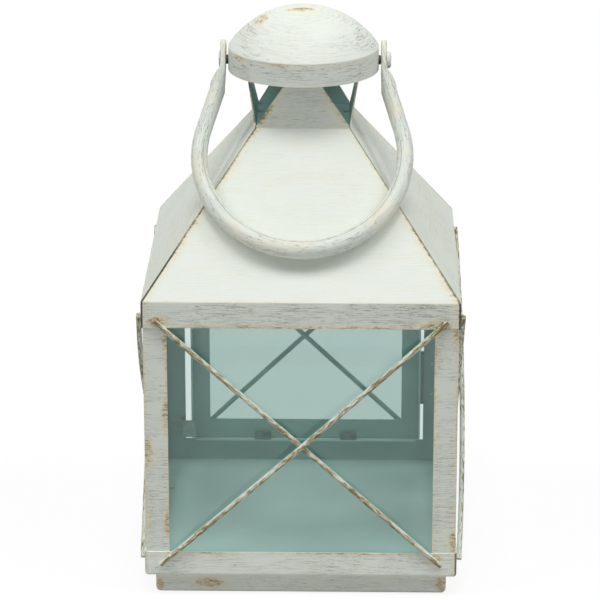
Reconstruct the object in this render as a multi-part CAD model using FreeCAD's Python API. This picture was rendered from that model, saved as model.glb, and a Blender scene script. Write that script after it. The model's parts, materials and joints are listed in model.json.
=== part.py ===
import FreeCAD, Part
import math
import os

# Candle lantern: a square sheet-metal body on a plinth, glazed on four sides, with a hinged door at
# the back, a hipped roof, a vented neck, a domed cap and a bail handle that lies on the front slope.
# Frame: +Z up, origin at the centre of the underside, front towards -Y, door towards +Y.

# Driving dimensions, in millimetres and degrees

# Sheet metal
SHEET = 0.8
FOLD_R = 0.8            # inside radius of a folded edge
SEAM_GAP = 0.5          # open seam between two neighbouring sheets
WELD_GAP = 0.05         # air between a rod and the face it is tacked to

# Plinth and tray
BODY_W = 180.0          # square plan over tray rim and roof skirt
FOOT_INSET = 5.8        # plinth wall behind the tray wall
FOOT_H = 13.0
FOOT_CORNER_R = 2.8
TRAY_H = 15.0
TRAY_CORNER_R = 2.0

# Body
WINDOW_H = 136.9        # clear height from tray rim to roof skirt
POST_W = 13.6           # leg of a corner angle
POST_TOP_GAP = 2.0      # post end below the eave

# Roof and neck
SKIRT_H = 15.3
ROOF_RISE = 83.9        # eave to neck
NECK_W = 54.6
LAP_W = 9.0             # flange of a side panel under its neighbour
LAP_GAP = 0.1
LAP_END = 6.0           # flange stops short of eave and neck
TAB_LEAN = 10.3         # neck tabs lean outwards
TAB_TAPER = 32.3        # each edge of a tab, from upright
TAB_TIP_W = 12.0
TAB_GAP = 0.1           # tab tip below the dome

# Cap
CAP_R = 43.3
CAP_LIFT = 28.3         # neck to cap rim
CAP_BAND_H = 13.6
CAP_DOME_H = 23.1
CAP_EDGE_R = 0.9        # rounding where the band meets the dome

# Bail handle
PIVOT_UP = 5.1          # pivot above the cap rim
SPACER_L = 1.3
SPACER_R = 2.7
FLAT_T = 3.3            # flattened ends
FLAT_W = 11.2
FLAT_END = 12.0         # end beyond the pivot
FLAT_END_R = 6.4        # rounding of the end, seen from the side
FLAT_EDGE_R = 1.8       # rounding of the end, seen from the front
FLAT_SQUARENESS = 6.0   # exponent of the flattened section
MORPH_L = 13.0          # length over which the flat turns into tube
ARM_BEND = 9.5          # bend below the pivot
ARM_BEND_R = 18.0
BOW_R = 58.5
BOW_DROP = 60.9         # centre of the bow below the pivot
ARM_TUBE_R = 4.6
BOW_TUBE_R = 5.4
HANDLE_REST_GAP = 0.3   # resting handle above the roof
HEAD_ROUNDING = 0.75    # share of a rivet head's height that is rounded
RIVET_SHANK_R = 2.0
RIVET_HEAD_R = 4.9
RIVET_HEAD_H = 2.4
RIVET_FLUSH_H = 0.6     # head of the left rivet, hammered flat
RIVET_TAIL_R = 3.4
RIVET_TAIL_H = 1.0
PIVOT_PLAY = 0.15       # side play of each handle end
RUN_FIT = 0.06          # radial clearance of a turning fit
FIXED_FIT = 0.03        # radial clearance of a fixed shank in its hole

# Glazing
GLASS_T = 2.0
GLASS_GAP = 0.1         # pane to the sheet before or behind it
PANE_EDGE_GAP = 0.4     # pane edge to what stands beside it
PANE_LAP = 8.0          # pane behind the roof skirt
CLIP_W = 10.3
CLIP_H = 9.0
CLIP_FOOT = 6.0
CLIP_LIP = 7.5          # hook in front of the pane, from the pane's upper edge down
CLIP_SPREAD = 45.0      # clips either side of the middle of a fixed pane

# Crossed rods
WIRE_R = 1.5
WIRE_TOP_INSET = 7.2    # upper end from the corner of the body
WIRE_TOP_UP = 5.2       # upper end above the skirt's lower edge
WIRE_LOW_INSET = 9.2    # lower end from the corner of the body
WIRE_LOW_DOWN = 7.2     # lower end below the tray's edge

# Door
DOOR_SIDE = 18.3        # door edge in from the side of the body
DOOR_GAP = 0.6          # door to tray rim and to roof skirt
HINGE_GAP = 2.0         # door edge to the hinge post
LATCH_GAP = 3.8         # door edge to the latch post
DOOR_DEPTH = 5.2
DOOR_STILE = 11.7
DOOR_RAIL = 13.2
DOOR_NOTCH = 3.0        # flanges cut back at the corners
DOOR_CLIP_SPREAD = 26.8
DOOR_CLIP_H = 4.6
DOOR_WIRE_INSET = 5.7   # rod end from the door's side edge
DOOR_WIRE_UP = 5.4      # rod end from the door's upper or lower edge
STOP_H = 11.0
STOP_UP = 2.6           # stop from the door's upper or lower edge
STOP_FOOT = 8.0
STOP_REACH = 2.6        # stop behind the door flange
STOP_GAP = 0.3

# Hinges
HINGE_H = 32.0
HINGE_SPREAD = 27.3     # hinge middle from the middle of the door
HINGE_R = 1.8
HINGE_PIN_R = 1.0
HINGE_LEAF_W = 10.5
HINGE_PLAY = 0.3
PIN_HEAD_R = 1.7
PIN_HEAD_H = 0.8
TACK_SHANK_R = 0.9      # small rivets of the hinge leaves
TACK_HEAD_R = 1.7
TACK_HEAD_H = 0.7
TACK_SPREAD = 10.0

# Turn button
LATCH_T = 1.2
LATCH_W = 7.0
LATCH_REACH = 15.0      # pivot to the centre of the round end
LATCH_LIFT = 0.3        # button in front of post and door
LATCH_SHANK_R = 1.4
LATCH_HEAD_R = 3.0
LATCH_HEAD_H = 1.1

# Places worked out from the sizes above
half = BODY_W / 2
z_floor = FOOT_H + SHEET
z_rim = FOOT_H + TRAY_H
z_skirt = z_rim + WINDOW_H
z_eave = z_skirt + SKIRT_H
z_neck = z_eave + ROOF_RISE
z_cap = z_neck + CAP_LIFT
z_band = z_cap + CAP_BAND_H
z_top = z_band + CAP_DOME_H
z_pivot = z_cap + PIVOT_UP
neck_half = NECK_W / 2
post_face = half - SHEET
post_back = post_face - SHEET
glass_face = post_back - GLASS_GAP
glass_back = glass_face - GLASS_T
clip_face = glass_back - GLASS_GAP
dome_r = (CAP_R ** 2 + CAP_DOME_H ** 2) / (2 * CAP_DOME_H)
z_dome = z_top - dome_r
slope_run = half - neck_half
slope_len = math.hypot(slope_run, ROOF_RISE)
slope_out = ROOF_RISE / slope_len       # horizontal share of the slope's normal
slope_up = slope_run / slope_len        # vertical share of the slope's normal
flat_x = CAP_R + SPACER_L + FLAT_T / 2  # middle of a flattened handle end
door_half = half - DOOR_SIDE
z_door_low = z_rim + DOOR_GAP
z_door_high = z_skirt - DOOR_GAP
z_door_mid = (z_door_low + z_door_high) / 2
x_hinge = door_half + HINGE_GAP / 2
y_hinge = post_face + HINGE_R
x_latch = -(door_half + LATCH_GAP + post_face) / 2

V = FreeCAD.Vector
ORIGIN = V(0, 0, 0)
X_AXIS = V(1, 0, 0)
Y_AXIS = V(0, 1, 0)
Z_AXIS = V(0, 0, 1)
SPARE = 5.0             # how far a cutting tool runs past what it cuts


# Basic solids

def block(x0, x1, y0, y1, z0, z1):
    """Box between two corners, given in any order."""
    corner = V(min(x0, x1), min(y0, y1), min(z0, z1))
    return Part.makeBox(abs(x1 - x0), abs(y1 - y0), abs(z1 - z0), corner)


def prism(points, sweep):
    """Flat outline swept along a vector."""
    outline = Part.makePolygon([V(*point) for point in points + points[:1]])
    return Part.Face(outline).extrude(sweep)


def disc(radius, start, sweep):
    """Cylinder from a start point along a vector."""
    return Part.makeCylinder(radius, sweep.Length, start, sweep)


def turned(shape, degrees):
    """Copy turned about the vertical middle axis."""
    copy = shape.copy()
    copy.rotate(ORIGIN, Z_AXIS, degrees)
    return copy


def fused(shapes):
    """Overlapping or touching solids made into one."""
    return shapes[0].fuse(shapes[1:]).removeSplitter()


def edges_through(shape, keep):
    """Edges whose two ends both satisfy a test on their position."""
    return [e for e in shape.Edges if all(keep(v.Point) for v in e.Vertexes)]


def rounded_block(size, low, high, radius):
    """Square block whose upright and lower edges are rounded."""
    solid = block(-size, size, -size, size, low, high)
    top = edges_through(solid, lambda p: abs(p.z - high) < 1e-6)
    kept = [e for e in solid.Edges if not any(e.isSame(t) for t in top)]
    return solid.makeFillet(radius, kept)


def pan(size, low, high, radius):
    """Square pressed pan, open at the top."""
    inner = rounded_block(size - SHEET, low + SHEET, high + SPARE, radius - SHEET)
    return rounded_block(size, low, high, radius).cut(inner)


# Plinth, tray and posts

def foot_plinth():
    return pan(half - FOOT_INSET, 0, FOOT_H, FOOT_CORNER_R)


def base_tray():
    """Rim and floor of one sheet, with an open seam at each corner of the rim."""
    tray = pan(half, FOOT_H, z_rim, TRAY_CORNER_R)
    corner = half * math.sqrt(2)
    seam = block(corner - SPARE, corner + SPARE, -SEAM_GAP / 2, SEAM_GAP / 2,
                 FOOT_H + TRAY_CORNER_R, z_rim + SPARE)
    return tray.cut([turned(seam, 45 + 90 * k) for k in range(4)])


def corner_post(side, end, leg_x):
    """Folded angle in the corner with these signs of x and y. leg_x lies along the front or back."""
    low = z_floor + TRAY_CORNER_R - SHEET
    outline = [(post_face, post_face), (post_face - leg_x, post_face), (post_face - leg_x, post_back),
               (post_back, post_back), (post_back, post_face - POST_W), (post_face, post_face - POST_W)]
    points = [(side * x, end * y, low) for x, y in outline]
    post = prism(points, V(0, 0, z_eave - POST_TOP_GAP - low))
    outer = edges_through(post, lambda p: abs(abs(p.x) - post_face) + abs(abs(p.y) - post_face) < 1e-6)
    post = post.makeFillet(FOLD_R + SHEET, outer)
    inner = edges_through(post, lambda p: abs(abs(p.x) - post_back) + abs(abs(p.y) - post_back) < 1e-6)
    return post.makeFillet(FOLD_R, inner)


# Roof

def slope_half(z):
    """Half width over the outside of the roof at a height on its slope."""
    return neck_half + (z_neck - z) * slope_run / ROOF_RISE


def inset_line(points, distance):
    """Open outline in y and z, moved to its right with mitred corners."""
    normals = []
    for (y0, z0), (y1, z1) in zip(points, points[1:]):
        length = math.hypot(y1 - y0, z1 - z0)
        normals.append(((z1 - z0) / length, (y0 - y1) / length))
    moved = []
    for k, (y, z) in enumerate(points):
        before = normals[max(k - 1, 0)]
        after = normals[min(k, len(normals) - 1)]
        reach = distance / (1 + before[0] * after[0] + before[1] * after[1])
        moved.append((y + (before[0] + after[0]) * reach, z + (before[1] + after[1]) * reach))
    return moved


def folded_sheet():
    """Skirt, slope and tab of a front panel as one long folded sheet."""
    y_tip = -neck_half - (z_top - z_neck) * math.tan(math.radians(TAB_LEAN))
    outside = [(-half, z_skirt), (-half, z_eave), (-neck_half, z_neck), (y_tip, z_top)]
    inside = inset_line(outside, SHEET)
    points = [(-half - SPARE, y, z) for y, z in outside + inside[::-1]]
    sheet = prism(points, V(BODY_W + 2 * SPARE, 0, 0))
    folds = [(outside[1], FOLD_R + SHEET), (inside[1], FOLD_R),
             (outside[2], FOLD_R), (inside[2], FOLD_R + SHEET)]
    for (y, z), radius in folds:
        fold = edges_through(sheet, lambda p: abs(p.y - y) + abs(p.z - z) < 1e-6)
        sheet = sheet.makeFillet(radius, fold)
    return sheet


def panel_outline():
    """What a front panel may fill: a wedge between the hip seams, and the tapered tab above it."""
    seam = SEAM_GAP / math.sqrt(2)
    reach = half + SPARE
    wedge = prism([(0, -seam, 0), (-reach, -reach - seam, 0), (reach, -reach - seam, 0)], V(0, 0, z_top))
    z_tip = z_neck + (neck_half - TAB_TIP_W / 2) / math.tan(math.radians(TAB_TAPER))
    right = [(reach, z_skirt - SPARE), (reach, z_neck), (neck_half, z_neck),
             (TAB_TIP_W / 2, z_tip), (TAB_TIP_W / 2, z_top + SPARE)]
    left = [(-x, z) for x, z in right[::-1]]
    face = prism([(x, -reach - SPARE, z) for x, z in right + left], V(0, reach + SPARE, 0))
    return wedge.common(face)


def hip_lap(side):
    """Flange that carries on from a front panel, under the sheet of its left or right neighbour."""
    depth = (SHEET + LAP_GAP) / slope_out
    start = SHEET / 2 / slope_out
    points = []
    for z, step in ((z_eave + LAP_END, 0), (z_neck - LAP_END, 0), (z_neck - LAP_END, LAP_W),
                    (z_eave + LAP_END, LAP_W)):
        points.append((side * (slope_half(z) - depth), start + step - slope_half(z), z))
    return prism(points, V(-side * slope_out * SHEET, 0, -slope_up * SHEET))


def roof_panel(lapped):
    """Front panel. Its tab reaches up to the underside of the dome."""
    panel = folded_sheet().common(panel_outline())
    under_dome = Part.makeSphere(dome_r - SHEET - TAB_GAP, V(0, 0, z_dome))
    above = block(-half, half, -half, half, z_cap, z_top + SPARE).cut(under_dome)
    panel = panel.cut(above)
    if lapped:
        panel = fused([panel, hip_lap(-1), hip_lap(1)])
    return panel


# Cap and bail handle

def cap():
    """Dome and band of even thickness, with a hole for each handle rivet."""
    inner_r = CAP_R - SHEET
    z_inner = z_dome + math.sqrt((dome_r - SHEET) ** 2 - inner_r ** 2)

    def arc(radius, low):
        edge = V(low[0], 0, low[1])
        tilt = math.atan2(low[0], low[1] - z_dome) / 2
        middle = V(radius * math.sin(tilt), 0, z_dome + radius * math.cos(tilt))
        return Part.Arc(edge, middle, V(0, 0, z_dome + radius)).toShape()

    def line(start, end):
        return Part.makeLine(V(start[0], 0, start[1]), V(end[0], 0, end[1]))

    outline = [line((CAP_R, z_cap), (CAP_R, z_band)), arc(dome_r, (CAP_R, z_band)),
               line((0, z_top), (0, z_top - SHEET)), arc(dome_r - SHEET, (inner_r, z_inner)),
               line((inner_r, z_inner), (inner_r, z_cap)), line((inner_r, z_cap), (CAP_R, z_cap))]
    wire = Part.Wire(Part.__sortEdges__(outline))
    shell = Part.Face(wire).revolve(ORIGIN, Z_AXIS, 360)
    edge = [e for e in shell.Edges if abs(e.BoundBox.ZMin - z_band) + abs(e.BoundBox.ZMax - z_band) < 1e-6]
    shell = shell.makeFillet(CAP_EDGE_R, edge)
    hole = disc(RIVET_SHANK_R + FIXED_FIT, V(-CAP_R - SPARE, 0, z_pivot), V(2 * (CAP_R + SPARE), 0, 0))
    return shell.cut(hole)


def bow_angle():
    """Height angle, seen from the bow's centre, at which each straight arm leaves the round bow."""
    rise = BOW_DROP - ARM_BEND
    return math.atan2(rise, flat_x) - math.acos(BOW_R / math.hypot(flat_x, rise))


def flat_low():
    """Height, below the pivot, where a flattened end turns into tube and its bend begins."""
    return ARM_BEND_R * math.tan(bow_angle() / 2) - ARM_BEND


def handle_lengths():
    """Lengths of the bend, of the straight arm and of half the bow."""
    lean = bow_angle()
    straight = math.hypot(flat_x, BOW_DROP - ARM_BEND)
    arm = math.sqrt(straight ** 2 - BOW_R ** 2) - ARM_BEND_R * math.tan(lean / 2)
    return ARM_BEND_R * lean, arm, BOW_R * (lean + math.pi / 2)


def handle_station(length):
    """Point of the hanging right half: x, height, downward heading and radius at a length from the flat."""
    lean = bow_angle()
    bend, arm, bow = handle_lengths()
    turn = min(length / ARM_BEND_R, lean)
    along = min(max(length - bend, 0.0), arm)
    if length <= bend + arm:
        return (flat_x + ARM_BEND_R * (1 - math.cos(turn)) + along * math.sin(lean),
                flat_low() - ARM_BEND_R * math.sin(turn) - along * math.cos(lean), turn, ARM_TUBE_R)
    share = (length - bend - arm) / bow
    angle = lean - (lean + math.pi / 2) * share
    return (BOW_R * math.cos(angle), BOW_R * math.sin(angle) - BOW_DROP, angle,
            ARM_TUBE_R + (BOW_TUBE_R - ARM_TUBE_R) * share)


def handle_stations():
    """Stations from the flat to the middle of the bow, closer where the flat turns into tube."""
    tube = sum(handle_lengths()) - MORPH_L
    close = 4
    apart = 13
    lengths = [MORPH_L * k / close for k in range(close)]
    lengths += [MORPH_L + tube * k / apart for k in range(apart + 1)]
    return [handle_station(length) for length in lengths]


def handle_section(x, height, heading, radius):
    """Closed section square to the path: a flattened end that swells outwards into a round tube."""
    share = min((flat_low() - height) / MORPH_L, 1.0)
    share = math.sin(share * math.pi / 2)
    thick = FLAT_T / 2 + (radius - FLAT_T / 2) * share
    wide = FLAT_W / 2 + (radius - FLAT_W / 2) * share
    power = 2 / (FLAT_SQUARENESS + (2 - FLAT_SQUARENESS) * share)
    outward = V(math.cos(heading), 0, math.sin(heading))
    inner_x = flat_x - FLAT_T / 2
    centre_x = math.copysign(max(abs(x), inner_x + thick), x) if share < 1 else x
    count = 16
    points = []
    for k in range(count):
        c = math.cos(2 * math.pi * k / count)
        s = math.sin(2 * math.pi * k / count)
        across = math.copysign(abs(s) ** power, s) * thick
        along = math.copysign(abs(c) ** power, c) * wide
        points.append(V(centre_x, 0, height) + outward * across + Y_AXIS * along)
    curve = Part.BSplineCurve()
    curve.interpolate(Points=points, PeriodicFlag=True, Parameters=[k / count for k in range(count + 1)])
    return Part.Wire(curve.toShape())


def handle_rest_angle():
    """Forward swing from hanging at which the tube first clears the front slope by the rest gap."""
    roof_lean = math.atan2(slope_run, ROOF_RISE)
    start = slope_up * (z_pivot - z_eave) - slope_out * half
    total = sum(handle_lengths())
    samples = 200
    swing = roof_lean
    for attempt in range(4):
        needed = [roof_lean]
        for k in range(samples + 1):
            x, height, heading, radius = handle_station(total * k / samples)
            z = z_pivot + height * math.cos(swing)
            over_slope = z_eave < z < z_neck and x - radius < slope_half(z)
            if over_slope:
                needed.append(roof_lean + math.asin((HANDLE_REST_GAP + radius - start) / -height))
        swing = max(needed)
    return swing


def handle_end():
    """Flattened right end with its pivot hole and its tip rounded both ways."""
    low = flat_low()
    section = Part.Face(handle_section(flat_x, low, 0.0, ARM_TUBE_R))
    end = section.extrude(V(0, 0, FLAT_END + SPARE - low))
    start = flat_x - FLAT_EDGE_R
    across = X_AXIS * (2 * FLAT_EDGE_R)
    z_round = FLAT_END - FLAT_END_R
    rim_r = FLAT_END_R - FLAT_EDGE_R
    rounded = Part.makeTorus(rim_r, FLAT_EDGE_R, V(flat_x, 0, z_round), X_AXIS)
    rounded = rounded.fuse(disc(rim_r, V(start, 0, z_round), across))
    tip = block(start, start + 2 * FLAT_EDGE_R, -FLAT_W, FLAT_W, z_round, FLAT_END + 2 * SPARE)
    hole = disc(RIVET_SHANK_R + RUN_FIT, V(start, 0, 0), across)
    return end.cut([tip.cut(rounded), hole])


def handle():
    """Bail that lies on the front slope."""
    right = handle_stations()
    left = [(-x, height, math.pi - heading, radius) for x, height, heading, radius in right[-2::-1]]
    tube = Part.makeLoft([handle_section(*station) for station in right + left], True, False)
    bail = tube.fuse([handle_end(), handle_end().mirror(ORIGIN, X_AXIS)])
    bail.rotate(ORIGIN, X_AXIS, -math.degrees(handle_rest_angle()))
    bail.translate(V(0, 0, z_pivot))
    return bail


def handle_rivet(side, head_h):
    """Rivet with its head outside the handle and a flat tail inside the cap."""
    x_head = flat_x + FLAT_T / 2 + PIVOT_PLAY
    x_tail = math.sqrt((CAP_R - SHEET) ** 2 - RIVET_TAIL_R ** 2) - WELD_GAP
    shank = disc(RIVET_SHANK_R, V(side * x_tail, 0, z_pivot), V(side * (x_head - x_tail), 0, 0))
    tail = disc(RIVET_TAIL_R, V(side * (x_tail - RIVET_TAIL_H), 0, z_pivot), V(side * RIVET_TAIL_H, 0, 0))
    head = disc(RIVET_HEAD_R, V(side * x_head, 0, z_pivot), V(side * head_h, 0, 0))
    x_outer = x_head + head_h
    rim = edges_through(head, lambda p: abs(abs(p.x) - x_outer) < 1e-6)
    head = head.makeFillet(head_h * HEAD_ROUNDING, rim)
    return fused([head, shank, tail])


def handle_spacer(side):
    """Bush on the rivet, between the band of the cap and the handle."""
    start = V(side * (CAP_R + WELD_GAP), 0, z_pivot)
    sweep = V(side * (SPACER_L - PIVOT_PLAY - WELD_GAP), 0, 0)
    return disc(SPACER_R, start, sweep).cut(disc(RIVET_SHANK_R + FIXED_FIT, start, sweep))


# Glazing

def front_pane():
    wide = post_back - PANE_EDGE_GAP
    return block(-wide, wide, -glass_face, -glass_back, z_floor + PANE_EDGE_GAP, z_skirt + PANE_LAP)


def side_pane(side):
    return block(side * glass_face, side * glass_back, PANE_EDGE_GAP - glass_back, post_back - PANE_EDGE_GAP,
                 z_floor + PANE_EDGE_GAP, z_skirt + PANE_LAP)


def pane_clips():
    """Clips of the front pane: two angles on the tray floor, two hooks on the skirt."""
    z_hook = z_skirt + PANE_LAP + GLASS_GAP
    clips = []
    for middle in (-CLIP_SPREAD, CLIP_SPREAD):
        x0 = middle - CLIP_W / 2
        x1 = middle + CLIP_W / 2
        upright = block(x0, x1, -clip_face, SHEET - clip_face, z_floor, z_floor + CLIP_H)
        foot = block(x0, x1, -clip_face, CLIP_FOOT - clip_face, z_floor, z_floor + SHEET)
        clips.append(fused([upright, foot]))
        bridge = block(x0, x1, -post_face, SHEET - clip_face, z_hook, z_hook + SHEET)
        behind = block(x0, x1, -clip_face, SHEET - clip_face, z_hook - CLIP_H, z_hook + SHEET)
        before = block(x0, x1, -post_face, -post_back, z_hook - CLIP_LIP, z_hook + SHEET)
        clips.append(fused([bridge, behind, before]))
    return Part.makeCompound(clips)


# Crossed rods

def straight_rod(start, end):
    return disc(WIRE_R, start, end - start)


def bowed_rod(start, end, outwards):
    """Rod held at its ends, bowed outwards at mid length to pass over its straight partner."""
    middle = (start + end) * 0.5 + outwards
    path = Part.Wire(Part.Arc(start, middle, end).toShape())
    tangent = path.Edges[0].tangentAt(path.Edges[0].FirstParameter)
    section = Part.Wire(Part.makeCircle(WIRE_R, start, tangent))
    return path.makePipeShell([section], True, False)


def front_rods():
    """Straight rod and bowed rod on the front, tacked to skirt and tray rim."""
    y = -half - WIRE_R - WELD_GAP
    top_x = half - WIRE_TOP_INSET
    low_x = half - WIRE_LOW_INSET
    top_z = z_skirt + WIRE_TOP_UP
    low_z = z_rim - WIRE_LOW_DOWN
    over = V(0, -2 * WIRE_R - WELD_GAP, 0)
    return (straight_rod(V(-top_x, y, top_z), V(low_x, y, low_z)),
            bowed_rod(V(top_x, y, top_z), V(-low_x, y, low_z), over))


def door_rods():
    """The same pair on the outside of the door."""
    y = post_face + WIRE_R + WELD_GAP
    x = door_half - DOOR_WIRE_INSET
    top_z = z_door_high - DOOR_WIRE_UP
    low_z = z_door_low + DOOR_WIRE_UP
    over = V(0, 2 * WIRE_R + WELD_GAP, 0)
    return (straight_rod(V(-x, y, top_z), V(x, y, low_z)),
            bowed_rod(V(x, y, top_z), V(-x, y, low_z), over))


# Door

def tack_places(side):
    """Centres of the hinge rivets on the door's side (-1) or the post's side (1) of the hinge line."""
    x = x_hinge + side * (HINGE_R + HINGE_LEAF_W) / 2
    return [(x, z_door_mid + hinge + tack) for hinge in (-HINGE_SPREAD, HINGE_SPREAD)
            for tack in (-TACK_SPREAD, TACK_SPREAD)]


def tack_holes(side):
    return [disc(TACK_SHANK_R + FIXED_FIT, V(x, post_back - SHEET, z), Y_AXIS * (4 * SHEET))
            for x, z in tack_places(side)]


def hinge_rivets(side):
    """Small rivets, flush at the back, through leaf and sheet."""
    rivets = []
    for x, z in tack_places(side):
        y_head = post_face + SHEET
        shank = disc(TACK_SHANK_R, V(x, post_back, z), Y_AXIS * (y_head - post_back))
        head = disc(TACK_HEAD_R, V(x, y_head, z), Y_AXIS * TACK_HEAD_H)
        rim = edges_through(head, lambda p: abs(p.y - y_head - TACK_HEAD_H) < 1e-6)
        rivets.append(fused([head.makeFillet(TACK_HEAD_H * HEAD_ROUNDING, rim), shank]))
    return Part.makeCompound(rivets)


def door_frame():
    """Folded pan frame with a window, its flanges notched at the corners."""
    y_lip = post_face - DOOR_DEPTH
    frame = block(-door_half, door_half, y_lip, post_face, z_door_low, z_door_high)
    face_rim = edges_through(frame, lambda p: abs(p.y - post_face) < 1e-6)
    frame = frame.makeFillet(FOLD_R, face_rim)
    hollow = block(SHEET - door_half, door_half - SHEET, y_lip - SPARE, post_back,
                   z_door_low + SHEET, z_door_high - SHEET)
    window = block(DOOR_STILE - door_half, door_half - DOOR_STILE, y_lip, post_face + SPARE,
                   z_door_low + DOOR_RAIL, z_door_high - DOOR_RAIL)
    tools = [hollow, window]
    for x in (-door_half, door_half):
        for z in (z_door_low, z_door_high):
            tools.append(block(x - DOOR_NOTCH, x + DOOR_NOTCH, y_lip - SPARE, post_back,
                               z - DOOR_NOTCH, z + DOOR_NOTCH))
    return frame.cut(tools + tack_holes(-1))


def door_glass():
    wide = door_half - SHEET - PANE_EDGE_GAP
    edge = SHEET + PANE_EDGE_GAP
    return block(-wide, wide, glass_back, glass_face, z_door_low + edge, z_door_high - edge)


def door_clips():
    """Angles on the upper and lower flange that keep the pane in the door."""
    clips = []
    for middle in (-DOOR_CLIP_SPREAD, DOOR_CLIP_SPREAD):
        x0 = middle - CLIP_W / 2
        x1 = middle + CLIP_W / 2
        for z_flange, up in ((z_door_low + SHEET, 1), (z_door_high - SHEET, -1)):
            foot = block(x0, x1, post_face - DOOR_DEPTH, clip_face, z_flange, z_flange + up * SHEET)
            upright = block(x0, x1, clip_face - SHEET, clip_face, z_flange, z_flange + up * DOOR_CLIP_H)
            clips.append(fused([foot, upright]))
    return Part.makeCompound(clips)


def door_stops():
    """Bent tabs on the latch post that the door's flange shuts against."""
    x_post = -(door_half + LATCH_GAP)
    y_stop = post_face - DOOR_DEPTH - STOP_GAP
    stops = []
    for z0 in (z_door_low + STOP_UP, z_door_high - STOP_UP - STOP_H):
        z1 = z0 + STOP_H
        foot = block(x_post - STOP_FOOT, x_post - SHEET, post_back - SHEET, post_back, z0, z1)
        web = block(x_post - 2 * SHEET, x_post - SHEET, y_stop - SHEET, post_back, z0, z1)
        lip = block(x_post - 2 * SHEET, STOP_REACH - door_half, y_stop - SHEET, y_stop, z0, z1)
        stops.append(fused([foot, web, lip]))
    return Part.makeCompound(stops)


# Hinges

def hinge_leaf(side, z_mid):
    """Leaf on the door (-1), with the middle knuckle, or on the post (1), with the outer two."""
    z_low = z_mid - HINGE_H / 2
    knuckle = HINGE_H / 3
    leaf = block(x_hinge, x_hinge + side * HINGE_LEAF_W, post_face, post_face + SHEET, z_low, z_low + HINGE_H)
    barrel = disc(HINGE_R, V(x_hinge, y_hinge, z_low), Z_AXIS * HINGE_H)
    middle = (z_low + knuckle, z_low + 2 * knuckle)
    clear = HINGE_PLAY / 2
    if side < 0:
        gaps = [(z_low - SPARE, middle[0] + clear), (middle[1] - clear, z_low + HINGE_H + SPARE)]
    else:
        gaps = [(middle[0] - clear, middle[1] + clear)]
    reach = HINGE_R + HINGE_PLAY
    tools = [block(x_hinge - reach, x_hinge + reach, post_face, y_hinge + reach, low, high)
             for low, high in gaps]
    tools.append(disc(HINGE_PIN_R + RUN_FIT, V(x_hinge, y_hinge, z_low), Z_AXIS * HINGE_H))
    return fused([leaf, barrel]).cut(tools + tack_holes(side))


def hinge_pin(z_mid):
    z_low = z_mid - HINGE_H / 2 - HINGE_PLAY
    length = HINGE_H + 2 * HINGE_PLAY
    shank = disc(HINGE_PIN_R, V(x_hinge, y_hinge, z_low), Z_AXIS * length)
    foot = disc(PIN_HEAD_R, V(x_hinge, y_hinge, z_low - PIN_HEAD_H), Z_AXIS * PIN_HEAD_H)
    head = disc(PIN_HEAD_R, V(x_hinge, y_hinge, z_low + length), Z_AXIS * PIN_HEAD_H)
    return fused([shank, foot, head])


# Turn button

def latch_button():
    """Button that hangs beside the door and turns up to lie across its edge."""
    y = post_face + LATCH_LIFT
    width = LATCH_W / 2
    bar = block(x_latch - width, x_latch + width, y, y + LATCH_T, z_door_mid - LATCH_REACH, z_door_mid)
    ends = [disc(width, V(x_latch, y, z), Y_AXIS * LATCH_T) for z in (z_door_mid, z_door_mid - LATCH_REACH)]
    hole = disc(LATCH_SHANK_R + RUN_FIT, V(x_latch, y - SPARE, z_door_mid), Y_AXIS * (LATCH_T + 2 * SPARE))
    return fused([bar] + ends).cut(hole)


def latch_hole():
    return disc(LATCH_SHANK_R + FIXED_FIT, V(x_latch, post_back - SHEET, z_door_mid), Y_AXIS * (3 * SHEET))


def latch_rivet():
    y_head = post_face + LATCH_LIFT + LATCH_T + PIVOT_PLAY
    shank = disc(LATCH_SHANK_R, V(x_latch, post_back, z_door_mid), Y_AXIS * (y_head - post_back))
    head = disc(LATCH_HEAD_R, V(x_latch, y_head, z_door_mid), Y_AXIS * LATCH_HEAD_H)
    rim = edges_through(head, lambda p: abs(p.y - y_head - LATCH_HEAD_H) < 1e-6)
    return fused([head.makeFillet(LATCH_HEAD_H * HEAD_ROUNDING, rim), shank])


# Assembly: one solid, or one group of like solids, for each named piece

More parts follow.
